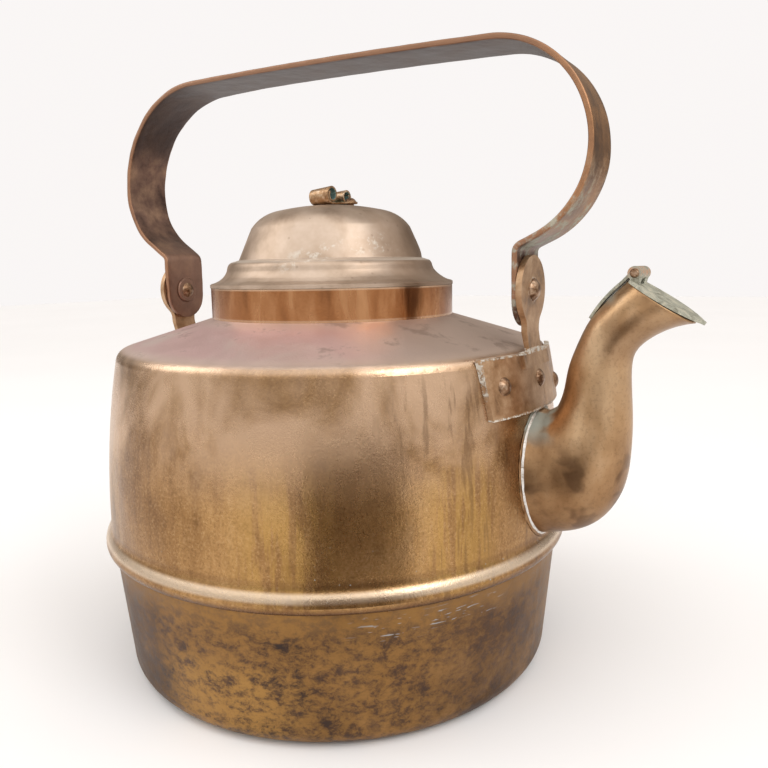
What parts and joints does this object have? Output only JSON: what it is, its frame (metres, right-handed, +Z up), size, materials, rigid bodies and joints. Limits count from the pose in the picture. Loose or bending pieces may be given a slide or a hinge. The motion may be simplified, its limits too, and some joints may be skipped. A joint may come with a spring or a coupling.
{
  "type": "kettle",
  "caption": "Round sheet-metal stove kettle with a swinging strap bail, a lift-off domed lid and a curved spout closed by a small hinged flap.",
  "frame": {"origin": "middle of the underside, on the surface the kettle stands on", "axes": "+Z up, +X towards the spout and along the bail's pivot axis, +Y to the left of the spout"},
  "size_m": [0.292, 0.2192, 0.2739],
  "materials": {
    "sooted_pan": "copper browned and sooted by the fire, mottled",
    "brown_copper": "satin copper with an even golden-brown patina",
    "rubbed_copper": "copper rubbed bright by the lid",
    "lid_copper": "dull tan-brown copper with lime marks",
    "spout_copper": "satin copper, brown patina",
    "ear_copper": "brown copper with green and white deposits at its edges",
    "rivet_copper": "copper, heads rubbed",
    "dark_copper": "dark purple-brown copper, edges rubbed bright",
    "green_trim": "copper under a thin green-grey crust",
    "finial_copper": "brown copper, verdigris inside the scrolls"
  },
  "bodies": {
    "kettle": {"bottom_pan": "sooted_pan", "body_wall": "brown_copper", "neck_collar": "rubbed_copper", "spout": "spout_copper", "spout_hinge_strap": "green_trim", "spout_hinge_pin": "rivet_copper", "front_ear": "ear_copper", "rear_ear": "ear_copper", "front_ear_rivets": "rivet_copper", "rear_ear_rivets": "rivet_copper", "front_pivot_rivet": "rivet_copper", "rear_pivot_rivet": "rivet_copper", "front_pivot_washer": "dark_copper", "rear_pivot_washer": "dark_copper"},
    "bail": {"bail_strap": "dark_copper"},
    "lid": {"lid_crown": "lid_copper", "lid_inner_rim": "lid_copper", "finial_scroll": "finial_copper", "finial_rivet": "rivet_copper", "finial_rove": "rivet_copper"},
    "flap": {"spout_flap": "green_trim"}
  },
  "joints": [
    {"name": "bail_swing", "type": "hinge", "parent": "kettle", "child": "bail", "pos_m": [0, 0, 0.1708], "axis": [1, 0, 0], "range_deg": [-95, 95]},
    {"name": "lid_lift", "type": "slide", "parent": "kettle", "child": "lid", "axis": [0, 0, 1], "range_m": [0, 0.045]},
    {"name": "spout_flap_hinge", "type": "hinge", "parent": "kettle", "child": "flap", "pos_m": [0.1413, 0, 0.1771], "axis": [0, -1, 0], "range_deg": [0, 110]}
  ]
}
